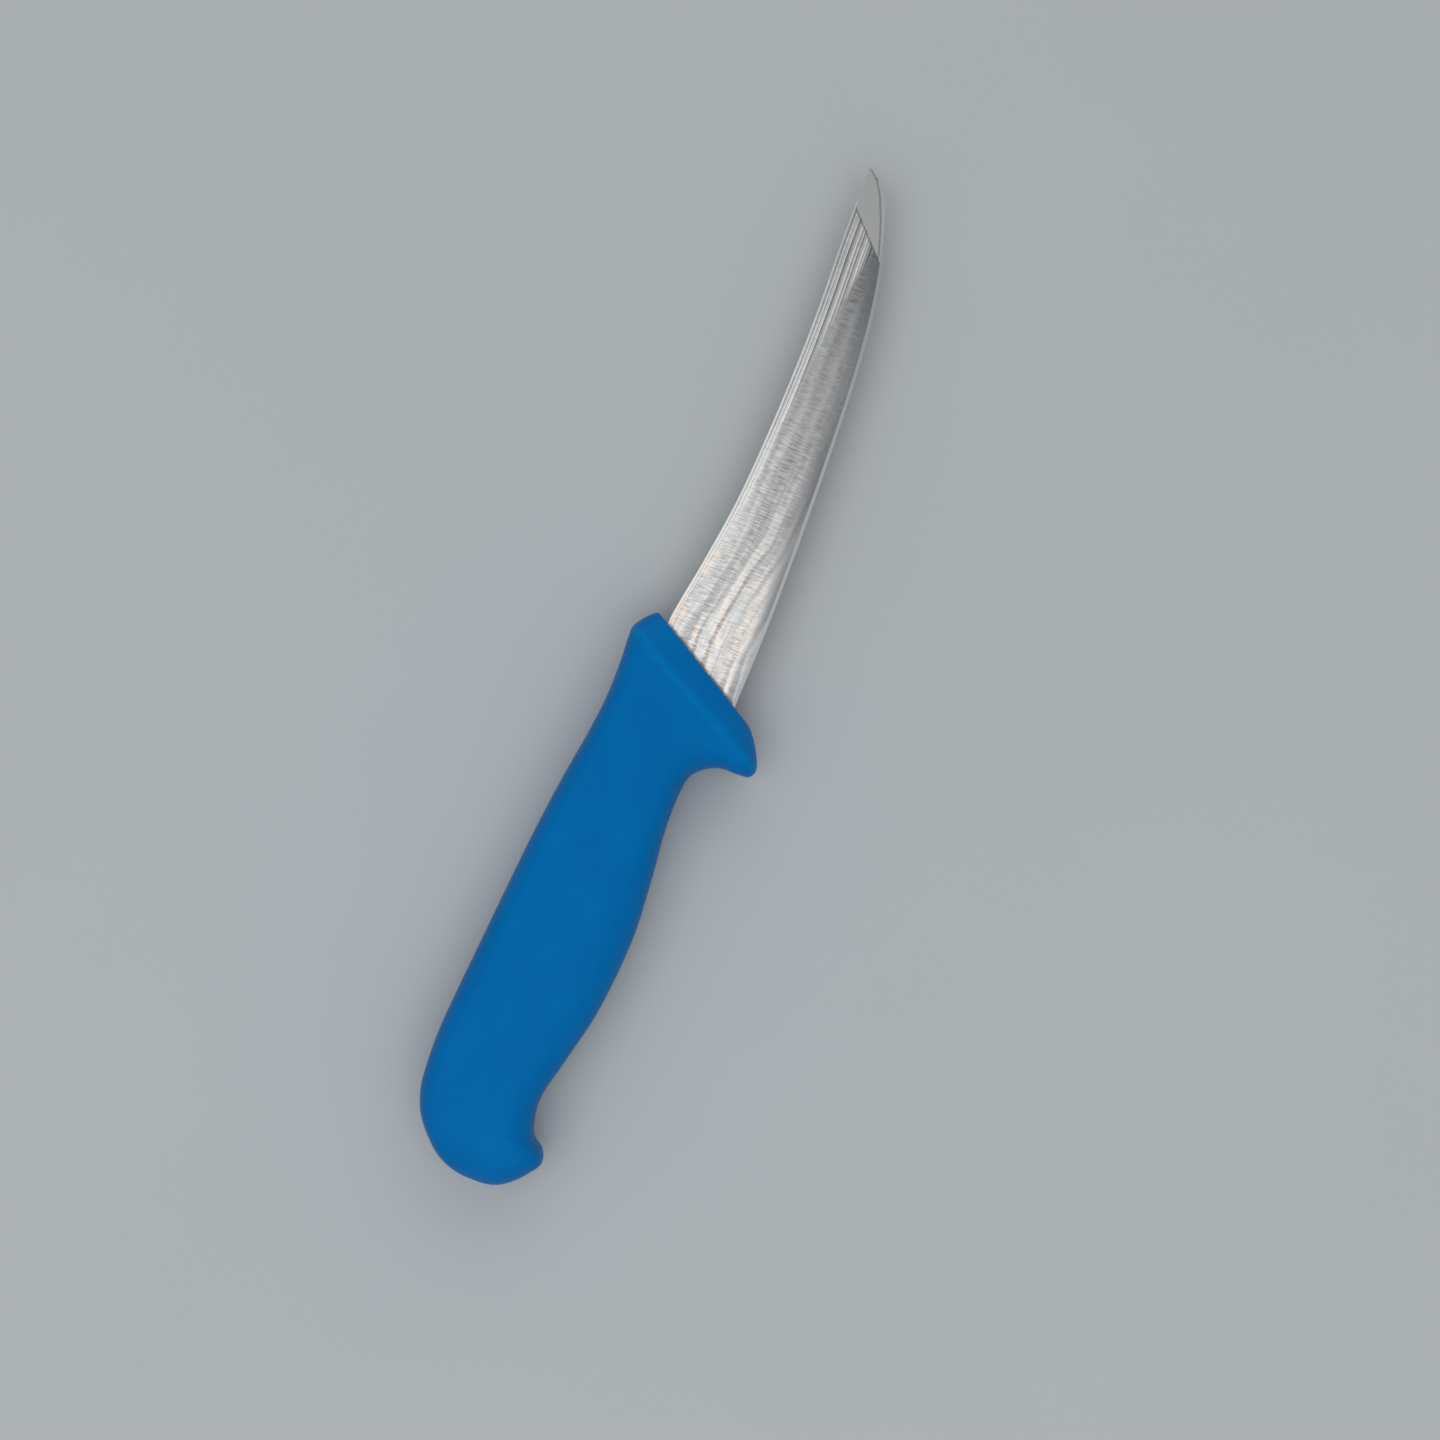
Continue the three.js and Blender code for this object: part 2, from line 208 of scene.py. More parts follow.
class KNIFE_PG_handle(bpy.types.PropertyGroup):
    """Sizes of the moulded handle."""

    length: size("Length", "From the front face to the end of the butt", 138.5)
    back_height: size("Back height", "Height of the highest point of the back", BACK_HEIGHT)
    belly_depth: size("Belly depth", "Depth of the lowest point of the belly", 9.3)
    butt_length: size("Butt length", "Dome and hook of the butt", 22.5)
    butt_rise: size("Butt rise", "Height of the end of the butt", 5.7)
    hook_depth: size("Hook depth", "Depth of the tip of the butt's hook", 8.7)
    neck_rise: size("Neck rise", "Rise of the belly to the neck before the hook", 6.7)
    hollow_length: size("Hollow length", "Finger hollow, back from the tip of the guard", 10.8)
    hollow_rise: size("Hollow rise", "Rise of the belly into the finger hollow", 2.5)
    front_rake: angle("Front rake", "Lean of the front face, forward at the spine", 29.9)
    nose_lip: size("Nose lip", "Plastic above the spine on the front face", 3)
    nose_length: size("Nose length", "Sloping top of the nose", 5.6)
    nose_rise: size("Nose rise", "Rise of that slope to the back", 4.6)
    nose_bow: size("Nose bow", "Bulge of that slope", 0.5)
    guard_lip: size("Guard lip", "Plastic below the edge on the front face", 5)
    guard_reach: size("Guard reach", "Tip of the guard behind its front corner", 9.65)
    guard_hang: size("Guard hang", "Tip of the guard below its front corner", 5.7)
    guard_bow: size("Guard bow", "Bulge of the guard's lower face", 0.7)
    guard_height: size("Guard height", "Rear face of the guard, up to the finger hollow", 11.7)
    guard_lean: size("Guard lean", "How far that face leans back", 4.2)
    thumb_length: size("Thumb rest", "Level stretch behind the nose", 27.2)
    across_flats: size("Across flats", "Between the two flat flanks", 20)
    swell_crown: size("Swell crown", "How far the round flanks would stand over the flats", 1.8)
    butt_round: size("Butt rounding", "Depth of the dome's rounding", 11)
    butt_end: size("Butt end", "Thickness of the patch at the end of the dome", 2.6)
    front_thickness: size("Front thickness", "Thickness at the front face", 11)
    front_ease: size("Front easing", "Rounding of the rim of the front face", 0.5)
    ridge_ease: size("Ridge easing", "Rounding of the ridge behind the collar", 0.8)
    section_power: share("Section power", "2 is an oval, more is boxier", 2.9)
    section_egg: share("Section egg", "How much wider the back of a section is", 0.1)
    rib_pitch: size("Rib pitch", "From one moulded rib to the next", 0.75)
    rib_depth: size("Rib depth", "Depth of the grooves between the ribs", 0.12)
    mould_gap: size("Mould gap", "Between the plastic and the steel", 0.06)


class KNIFE_PG_finish(bpy.types.PropertyGroup):
    """Colours of the steel and of the plastic."""

    steel: colour("Steel", "Ground steel of the blade", (0.91, 0.89, 0.87))
    # Painted shade as well: this dark colour also takes the blade's painted shade and its dark crease lines
    steel_shade: colour("Steel shade", "Darker marks that the grinding left", (0.172, 0.174, 0.182))
    # Painted reflection: the warm tint of the glints near the handle
    steel_glint: colour("Steel warmth", "Warm glints near the handle", (0.90, 0.75, 0.63))
    facet: colour("Facet", "Smooth facet of the point", (0.495, 0.490, 0.480))
    bevel: colour("Bevel", "Honed bevel of the edge", (0.50, 0.51, 0.52))
    plastic: colour("Plastic", "Moulded plastic of the handle", (0.0, 0.127, 0.381))
    # Also the colour of the painted highlight along the collar's ridge
    plastic_rubbed_and_lit: colour("Rubbed plastic", "Plastic that is rubbed paler", (0.0, 0.156, 0.434))
    plastic_sheen: colour("Plastic sheen", "Tint of what the plastic reflects head on", (0.25, 0.85, 1.0))


class KNIFE_PG_stage(bpy.types.PropertyGroup):
    """Floor, light and camera."""

    floor: colour("Floor", "Plain pale floor", (0.455, 0.475, 0.490))
    floor_size: size("Floor size", "Side of the floor", 6000)
    floor_near: size("Near floor", "Where the floor starts to run into the backdrop", 350)
    floor_far: size("Far floor", "Where the floor has run into the backdrop", 1000)
    top_power: power("Top light", "Power of the light above", 14)
    side_power: power("Side light", "Power of the light ahead", 8)
    camera_height: size("Camera height", "Above the middle of the knife", 600)
    view_width: size("View width", "What the picture takes in at the middle of the knife", 356)
    view_turn: angle("View turn", "Lean of the knife's axis in the picture", 68.4)
    view_along: size("View along the knife", "Middle of the picture, along the frame", -6.5)
    view_aside: size("View across the knife", "Middle of the picture, across the frame", -11.7)


class KNIFE_PG_knife(bpy.types.PropertyGroup):
    """Everything about the knife that a user may change."""

    blade: PointerProperty(name="Blade", description="Sizes of the blade", type=KNIFE_PG_blade)
    handle: PointerProperty(name="Handle", description="Sizes of the handle", type=KNIFE_PG_handle)
    finish: PointerProperty(name="Finish", description="Colours of the knife", type=KNIFE_PG_finish)
    stage: PointerProperty(name="Stage", description="Floor, light and camera", type=KNIFE_PG_stage)


# Lines of the knife's side view

def lerp(start, end, part):
    """A value between two others."""
    return start + part * (end - start)


def eased_min(first, second, ease):
    """The smaller of two values, with their corner rounded off."""
    return (first + second - math.hypot(first - second, ease)) / 2


def in_frame(point, out=0.0):
    """Turns a point of the side view, and its distance from the middle of the thickness, into a place."""
    return AXIS + Vector((point[0], point[1], out))


def smooth_curve(points):
    """Gives a function of a share from 0 to 1, which follows a smooth curve through a row of points."""
    points = [Vector(point) for point in points]
    row = [2 * points[0] - points[1], *points, 2 * points[-1] - points[-2]]

    def place(part):
        reach = part * (len(points) - 1)
        stretch = min(int(reach), len(points) - 2)
        part = reach - stretch
        before, start, end, after = row[stretch:stretch + 4]
        first = math.sqrt((start - before).length)
        middle = math.sqrt((end - start).length)
        last = math.sqrt((after - end).length)
        leave = (start - before) / first - (end - before) / (first + middle) + (end - start) / middle
        arrive = (end - start) / middle - (after - start) / (middle + last) + (after - end) / last
        leave = leave * middle
        arrive = arrive * middle
        bend = 3 * (end - start) - 2 * leave - arrive
        twist = 2 * (start - end) + leave + arrive
        return start + part * (leave + part * (bend + part * twist))

    return place


def along(curve, distance_x):
    """The point of a curve that runs forward in X, at one place in X."""
    before, after = 0.0, 1.0
    while after - before > TINY:
        middle = (before + after) / 2
        if curve(middle).x < distance_x:
            before = middle
        else:
            after = middle
    return curve(after)


def on_front(knife, height):
    """The point of the raked front face at a height."""
    return Vector((height * math.tan(knife.handle.front_rake), height))


def spine_curve(knife):
    """The line of the spine, from inside the handle to the point."""
    blade = knife.blade
    start = on_front(knife, blade.heel_width / 2)
    root = start - Vector((blade.root_depth, 0))
    fall = [(x * blade.length, lerp(blade.spine_low, start.y, part)) for x, part in SPINE_FALL]
    climb = [(x * blade.length, lerp(blade.spine_low, blade.point_rise, part)) for x, part in SPINE_CLIMB]
    return smooth_curve([root, start, *fall, *climb, (blade.length, blade.point_rise)])


def edge_curve(knife):
    """The line of the cutting edge, from inside the handle to the point."""
    blade = knife.blade
    start = on_front(knife, -blade.heel_width / 2)
    root = start - Vector((blade.root_depth, 0))
    climb = [(x * blade.length, lerp(start.y, blade.point_rise, part)) for x, part in EDGE_CLIMB]
    point = (blade.length - blade.point_blunt / 2, blade.point_rise - blade.point_blunt)
    return smooth_curve([root, start, *climb, point])


def spine_half(knife, x):
    """Half the thickness of the spine."""
    blade = knife.blade
    part = min(max(x / blade.length, 0), 1)
    return lerp(blade.spine_thickness, blade.point_thickness, part) / 2


# Modelling steps that both pieces use

def select_where(piece, test):
    """Selects, in edit mode, the vertices whose places pass a test."""
    mesh = bmesh.from_edit_mesh(piece.data)
    for vertex in mesh.verts:
        vertex.select_set(test(vertex.co))
    mesh.select_flush_mode()
    bmesh.update_edit_mesh(piece.data)


def select_only(piece):
    """Makes one object the only selected one, and the active one."""
    bpy.ops.object.select_all(action="DESELECT")
    piece.select_set(True)
    bpy.context.view_layer.objects.active = piece


def start_mesh(name):
    """Adds an empty mesh object at the origin and leaves it in edit mode."""
    bpy.ops.object.select_all(action="DESELECT")
    bpy.ops.mesh.primitive_plane_add(enter_editmode=True)
    bpy.ops.mesh.delete(type="VERT")
    piece = bpy.context.object
    piece.name = name
    piece.data.name = name
    return piece


def draw_loop(points):
    """Draws a closed line in edit mode, by extruding one vertex from place to place."""
    bpy.ops.mesh.select_all(action="DESELECT")
    bpy.ops.mesh.primitive_circle_add(vertices=3, radius=TINY, location=points[0])
    bpy.ops.mesh.merge(type="COLLAPSE")
    for here, there in zip(points, [*points[1:], points[0]]):
        bpy.ops.mesh.extrude_region_move(TRANSFORM_OT_translate={"value": there - here})
    bpy.ops.mesh.select_all(action="SELECT")
    bpy.ops.mesh.remove_doubles(threshold=TINY)


def close_mesh():
    """Turns all faces outward and leaves edit mode."""
    bpy.ops.mesh.select_all(action="SELECT")
    bpy.ops.mesh.normals_make_consistent(inside=False)
    bpy.ops.object.mode_set(mode="OBJECT")


def combine(piece, tool, operation):
    """Joins a tool to a piece, or cuts it out of it, and removes the tool."""
    select_only(piece)
    modifier = piece.modifiers.new("combine", "BOOLEAN")
    modifier.operation = operation
    modifier.solver = "EXACT"
    modifier.object = tool
    bpy.ops.object.modifier_apply(modifier=modifier.name)
    bpy.data.objects.remove(tool)


def hand_over(piece, node, material, crease):
    """Gives a finished piece its shading and material, and puts it in the place of its node."""
    select_only(piece)
    bpy.ops.object.shade_smooth_by_angle(angle=crease)
    piece.data.materials.clear()
    piece.data.materials.append(material)
    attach(piece, "root")
    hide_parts(node)


# Blade

def blade_section(knife, back, front):
    """One closed section of the ground wedge between a point of the spine and one of the edge."""
    blade = knife.blade
    width = (back - front).length
    bevel = min(blade.bevel_width, BEVEL_SHARE * width)
    half = spine_half(knife, back.x)
    thin = min(blade.bevel_thickness / 2, half)
    ease = blade.spine_ease
    eased_half = lerp(half, thin, ease / width)
    corner = CORNER_SHARE * ease
    side = [(0, half - ease), (corner, half - corner), (ease, eased_half), (width - bevel, thin)]
    mirrored = [(down, -out) for down, out in reversed(side)]
    return [in_frame(back.lerp(front, down / width), out) for down, out in [*side, (width, 0), *mirrored]]


def ground_wedge(knife):
    """The wedge of the blade, bridged from a row of sections."""
    spine = spine_curve(knife)
    edge = edge_curve(knife)
    steps = BLADE_STEPS * (len(EDGE_CLIMB) + 2)
    piece = start_mesh("knife_blade")
    for step in range(steps + 1):
        draw_loop(blade_section(knife, spine(step / steps), edge(step / steps)))
    bpy.ops.mesh.bridge_edge_loops()
    bpy.ops.mesh.select_all(action="DESELECT")
    bpy.ops.mesh.select_non_manifold()
    bpy.ops.mesh.edge_face_add()
    close_mesh()
    return piece


def tang_bar(knife):
    """Start and end of the straight bar of the tang, along its middle."""
    blade = knife.blade
    root = on_front(knife, blade.root_step - blade.heel_width / 2)
    start = Vector((root.x - blade.root_depth - blade.shoulder_length, blade.tang_rise))
    end = Vector((blade.tang_cover - knife.handle.length, blade.tang_rise + blade.tang_climb))
    return start, end


def tang_plate(knife):
    """The flat tang: wide inside the root of the blade, then a straight bar with a round end and holes."""
    blade = knife.blade
    start, end = tang_bar(knife)
    half = Vector((0, blade.tang_width / 2))
    height = blade.heel_width / 2 - blade.root_step
    top = on_front(knife, height)
    bottom = on_front(knife, -height)
    depth = Vector((blade.root_depth, 0))
    outline = [
        top - depth / 2, top - depth, start + half, end + half,
        end - half, start - half, bottom - depth, bottom - depth / 2,
    ]
    piece = start_mesh("knife_tang")
    draw_loop([in_frame(point, -blade.spine_thickness / 2) for point in outline])
    bpy.ops.mesh.edge_face_add()
    select_where(piece, lambda spot: abs(spot.x - in_frame(end).x) < TINY)
    bpy.ops.mesh.bevel(
        affect="VERTICES", offset=blade.tang_width / 2, segments=END_SEGMENTS, profile=0.5, clamp_overlap=True
    )
    bpy.ops.mesh.select_all(action="SELECT")
    bpy.ops.mesh.extrude_region_move(TRANSFORM_OT_translate={"value": (0, 0, blade.spine_thickness)})
    close_mesh()
    combine(piece, lock_pins(knife), "DIFFERENCE")
    return piece


def lock_pins(knife):
    """Pins in the places of the tang's holes."""
    blade = knife.blade
    start, end = tang_bar(knife)
    first = blade.lock_start / (start.x - end.x)
    last = 1 - blade.lock_end / (start.x - end.x)
    piece = start_mesh("lock_pins")
    for pin in range(blade.lock_count):
        middle = start.lerp(end, lerp(first, last, pin / (blade.lock_count - 1)))
        bpy.ops.mesh.primitive_cylinder_add(
            vertices=HOLE_SIDES, radius=blade.lock_hole / 2, depth=PIN_LENGTH * blade.spine_thickness,
            location=in_frame(middle),
        )
    bpy.ops.object.mode_set(mode="OBJECT")
    return piece


def blade_blank(knife):
    """The ground wedge with its tang."""
    piece = ground_wedge(knife)
    combine(piece, tang_plate(knife), "UNION")
    return piece


def facet_border(knife):
    """Both ends of the facet's border: above the cutting bevel and at the spine."""
    blade = knife.blade
    edge = along(edge_curve(knife), blade.length - blade.facet_edge)
    low = edge + Vector((0, blade.bevel_width))
    high = along(spine_curve(knife), blade.length - blade.facet_spine)
    return low, high


def facet_plane(knife, side):
    """A point and the outward normal of the facet that is ground on one side of the point."""
    blade = knife.blade
    low, high = facet_border(knife)
    corner = in_frame(low, side * blade.bevel_thickness / 2)
    spine = in_frame(high, side * spine_half(knife, high.x))
    point = in_frame((blade.length, blade.point_rise), side * blade.facet_thickness / 2)
    normal = (spine - corner).cross(point - corner).normalized()
    if normal.z * side < 0:
        normal.negate()
    return corner, normal


def grind_facets(knife, piece):
    """Grinds the facet of the point on both sides."""
    select_only(piece)
    bpy.ops.object.mode_set(mode="EDIT")
    for side in (1, -1):
        place, normal = facet_plane(knife, side)
        bpy.ops.mesh.select_all(action="SELECT")
        bpy.ops.mesh.bisect(
            plane_co=place, plane_no=normal, use_fill=True, clear_outer=True, threshold=TINY / 10
        )
    bpy.ops.object.mode_set(mode="OBJECT")


def mark_facets(knife, piece):
    """Marks the faces of the point's facets."""
    planes = [facet_plane(knife, side) for side in (1, -1)]
    marks = piece.data.attributes.new("facet", "FLOAT", "FACE")
    for face, mark in zip(piece.data.polygons, marks.data):
        gaps = [abs((face.center - place).dot(normal)) for place, normal in planes]
        mark.value = float(min(gaps) < TINY)


# Handle

def bowed(start, end, part, sag):
    """A point of the line between two points, bowed out to its right by a sag."""
    run = end - start
    out = 4 * part * (1 - part) * sag / run.length
    return start + part * run + out * Vector((run.y, -run.x))


def collar_corners(knife):
    """Corners of the collar's outline: on the front face and on its ridge, at the nose and at the guard."""
    handle = knife.handle
    heel = knife.blade.heel_width / 2
    nose_tip = on_front(knife, heel + handle.nose_lip)
    nose_top = nose_tip + Vector((-handle.nose_length, handle.nose_rise))
    guard_front = on_front(knife, -heel - handle.guard_lip)
    guard_tip = guard_front - Vector((handle.guard_reach, handle.guard_hang))
    return nose_tip, nose_top, guard_front, guard_tip


def handle_thickness(knife, middle):
    """Thickness by the middle of a section: dome at the butt, level grip and straight slope at the collar."""
    handle = knife.handle
    _, nose_top, _, guard_tip = collar_corners(knife)

    def depth(point):
        return on_front(knife, point.y).x - point.x

    level = handle.across_flats
    part = depth(middle) / depth((nose_top + guard_tip) / 2)
    slope = lerp(handle.front_thickness, level, part)
    from_end = min((middle.x + handle.length) / handle.butt_round, 1)
    dome = lerp(handle.butt_end, level, math.sqrt(1 - (1 - from_end) ** 2))
    return min(eased_min(slope, level, handle.ridge_ease), dome)


def handle_stations(knife):
    """Ends of the sections from the butt to the front face: a point of the back and one of the belly."""
    handle = knife.handle
    nose_tip, nose_top, guard_front, guard_tip = collar_corners(knife)
    grip_start = handle.butt_length - handle.length
    grip_end = guard_tip.x - handle.hollow_length

    def stretch(start, length, base, rise):
        """Gives a function of two shares: along a stretch of the handle, and of the rise of its line."""
        return lambda part, up: Vector((start + part * length, base + up * rise))

    butt = (-handle.length, handle.butt_length)
    grip = (grip_start, grip_end - grip_start)
    swell = handle.back_height - nose_top.y
    dome = stretch(*butt, handle.butt_rise, handle.back_height - handle.butt_rise)
    hook = stretch(*butt, handle.butt_rise, -handle.hook_depth - handle.butt_rise)
    palm = stretch(*grip, nose_top.y, swell)
    thumb = stretch(nose_top.x, -handle.thumb_length, nose_top.y, swell)
    heel_of_hand = stretch(*grip, -handle.belly_depth, handle.neck_rise)
    fingers = stretch(*grip, -handle.belly_depth, handle.hollow_rise)

    def guard(lean, rise):
        return guard_tip + Vector((-lean * handle.guard_lean, rise * handle.guard_height))

    def nose_slope(part):
        return bowed(nose_top, nose_tip, part, -handle.nose_bow)

    def guard_slope(part):
        return bowed(guard_tip, guard_front, part, handle.guard_bow)

    return [
        # Dome of the butt and its hook
        (dome(0, 0.08), hook(0, 0.12)),
        (dome(0.036, 0.27), hook(0.036, 0.4)),
        (dome(0.124, 0.48), hook(0.124, 0.62)),
        (dome(0.29, 0.68), hook(0.29, 0.86)),
        (dome(0.485, 0.845), hook(0.44, 1)),
        (dome(0.63, 0.915), hook(0.56, 0.93)),
        (dome(0.78, 0.96), hook(0.66, 0.72)),
        (dome(1, 0.985), heel_of_hand(-0.037, 0.94)),
        # Palm swell and belly
        (palm(0.09, 1), heel_of_hand(0.03, 1)),
        (palm(0.2, 0.95), heel_of_hand(0.15, 0.66)),
        (palm(0.37, 0.82), heel_of_hand(0.315, 0.21)),
        (palm(0.55, 0.68), heel_of_hand(0.55, 0)),
        (palm(0.73, 0.525), fingers(0.73, 0.44)),
        (palm(0.89, 0.335), fingers(0.87, 0.96)),
        # Finger hollow and guard
        (thumb(1, 0.065), fingers(0.987, 1)),
        (thumb(0.68, -0.04), fingers(1.042, 0.64)),
        (thumb(0.475, -0.05), guard(1, 1)),
        (thumb(0.31, -0.04), guard(0.62, 0.685)),
        (thumb(0.185, -0.01), guard(0.6, 0.34)),
        (thumb(0.08, 0.01), guard(0.48, 0.085)),
        # Collar that slopes to the blade
        (nose_top, guard_tip),
        (nose_slope(0.4), guard_slope(0.46)),
        (nose_slope(0.78), guard_slope(0.8)),
        (nose_tip, guard_front),
    ]


class HandleRing:
    """One section of the handle: its middle, its lean from upright and half its height and thickness."""

    def __init__(self, knife, back, belly, groove):
        middle = (back + belly) / 2
        reach = (back - belly) / 2
        self.centre = in_frame(middle)
        self.lean = math.atan2(reach.x, reach.y)
        self.half_height = reach.length - groove
        self.half_thickness = handle_thickness(knife, middle) / 2 - groove


def rib_shares(middle, first, last, pitch):
    """Shares of the handle at the rings of its ribs, spaced evenly along its middle line."""
    parts = [lerp(first, last, step / LINE_SAMPLES) for step in range(LINE_SAMPLES + 1)]
    lengths = [0.0]
    for here, there in zip(parts, parts[1:]):
        lengths.append(lengths[-1] + (middle(there) - middle(here)).length)
    count = RIB_RINGS * round(lengths[-1] / pitch)
    spots = [bisect_left(lengths, lengths[-1] * mark / count) for mark in range(count + 1)]
    return [parts[min(spot, LINE_SAMPLES)] for spot in spots]


def handle_rings(knife):
    """All sections of the handle, rising and falling with the ribs along the grip."""
    handle = knife.handle
    stations = handle_stations(knife)
    last = len(stations) - 1
    back = smooth_curve([point for point, _ in stations])
    belly = smooth_curve([point for _, point in stations])

    def middle(part):
        return (back(part) + belly(part)) / 2

    def ring(part, groove=0.0):
        return HandleRing(knife, back(part), belly(part), groove)

    ribs = rib_shares(middle, RIB_FIRST / last, RIB_LAST / last, handle.rib_pitch)
    butt_steps = round(RIB_FIRST * SMOOTH_STEPS)
    collar_steps = round((last - RIB_LAST) * SMOOTH_STEPS)
    rings = [ring(step / butt_steps * RIB_FIRST / last) for step in range(butt_steps)]
    for mark, part in enumerate(ribs):
        fade = min(min(mark, len(ribs) - 1 - mark) / (RIB_RINGS * RIB_FADE), 1)
        groove = (1 - math.cos(math.tau * mark / RIB_RINGS)) / 2
        rings.append(ring(part, groove * fade * handle.rib_depth))
    for step in range(1, collar_steps + 1):
        rings.append(ring(lerp(RIB_LAST, last, step / collar_steps) / last))
    return rings


def press_section(knife, mesh):
    """Turns a flat circle into the boxy oval of the handle's section, one half high and one half thick."""
    handle = knife.handle
    crown = 1 + handle.swell_crown / handle.across_flats
    for vertex in mesh.vertices:
        turn = math.atan2(vertex.co.y, vertex.co.x)
        up = math.copysign(abs(math.cos(turn)) ** (2 / handle.section_power), math.cos(turn))
        out = math.copysign(abs(math.sin(turn)) ** (2 / handle.section_power), math.sin(turn))
        out = crown * out * (1 + handle.section_egg * up)
        vertex.co = (0, up, math.copysign(eased_min(abs(out), 1, FLAT_EASE), out))
    widest = max(vertex.co.z for vertex in mesh.vertices)
    for vertex in mesh.vertices:
        vertex.co.z /= widest


def lean(turn, centre):
    """Leans what is selected from upright towards +X. With no window a positive turn is clockwise."""
    bpy.ops.transform.rotate(value=turn, orient_axis="Z", center_override=centre)


def moulded_body(knife):
    """The handle without the space of the tang, extruded from ring to ring."""
    rings = handle_rings(knife)
    bpy.ops.object.select_all(action="DESELECT")
    bpy.ops.mesh.primitive_circle_add(vertices=SECTION_SIDES, radius=1, fill_type="NGON")
    piece = bpy.context.object
    piece.name = "knife_handle"
    piece.data.name = "knife_handle"
    press_section(knife, piece.data)
    bpy.ops.object.mode_set(mode="EDIT")
    bpy.ops.mesh.select_all(action="SELECT")
    start = rings[0]
    bpy.ops.transform.resize(value=(1, start.half_height, start.half_thickness), center_override=ORIGIN)
    lean(start.lean, ORIGIN)
    bpy.ops.transform.translate(value=start.centre)
    for here, there in zip(rings, rings[1:]):
        bpy.ops.mesh.extrude_region_move(TRANSFORM_OT_translate={"value": there.centre - here.centre})
        lean(-here.lean, there.centre)
        grow = (1, there.half_height / here.half_height, there.half_thickness / here.half_thickness)
        bpy.ops.transform.resize(value=grow, center_override=there.centre)
        lean(there.lean, there.centre)
    bpy.ops.mesh.bevel(affect="EDGES", offset=knife.handle.front_ease, segments=RIM_SEGMENTS, profile=0.5)
    close_mesh()
    return piece


def tang_space(knife):
    """The blade's blank, fattened by the gap that the plastic leaves around it."""
    piece = blade_blank(knife)
    select_only(piece)
    bpy.ops.object.mode_set(mode="EDIT")
    bpy.ops.mesh.select_all(action="SELECT")
    bpy.ops.transform.shrink_fatten(value=knife.handle.mould_gap, use_even_offset=True)
    bpy.ops.object.mode_set(mode="OBJECT")
    return piece


# Finishes

def maths(operation, turned=False):
    """An arithmetic operator for shader sockets, turned round where the socket comes second."""

    def operate(value, other):
        first, second = (other, value) if turned else (value, other)
        return value.finish.node("ShaderNodeMath", {"operation": operation}, {0: first, 1: second})

    return operate


class Value:
    """A shader socket that takes part in plain arithmetic."""

    def __init__(self, finish, socket):
        self.finish = finish
        self.socket = socket

    __add__ = maths("ADD")
    __radd__ = maths("ADD", turned=True)
    __sub__ = maths("SUBTRACT")
    __rsub__ = maths("SUBTRACT", turned=True)
    __mul__ = maths("MULTIPLY")
    __rmul__ = maths("MULTIPLY", turned=True)
    __truediv__ = maths("DIVIDE")
    __pow__ = maths("POWER")


class Marks(NamedTuple):
    """A kind of soft noise: marks per millimetre along, across and through a piece, a seed and fineness."""

    along: float
    across: float
    through: float
    seed: float = 0.0
    detail: float = 2.0
    roughness: float = 0.5


def plot(mapping, places):
    """Gives a curve node its points."""
    points = mapping.curves[0].points
    points[0].location = places[0]
    points[1].location = places[-1]
    for place in places[1:-1]:
        points.new(*place)
    mapping.update()


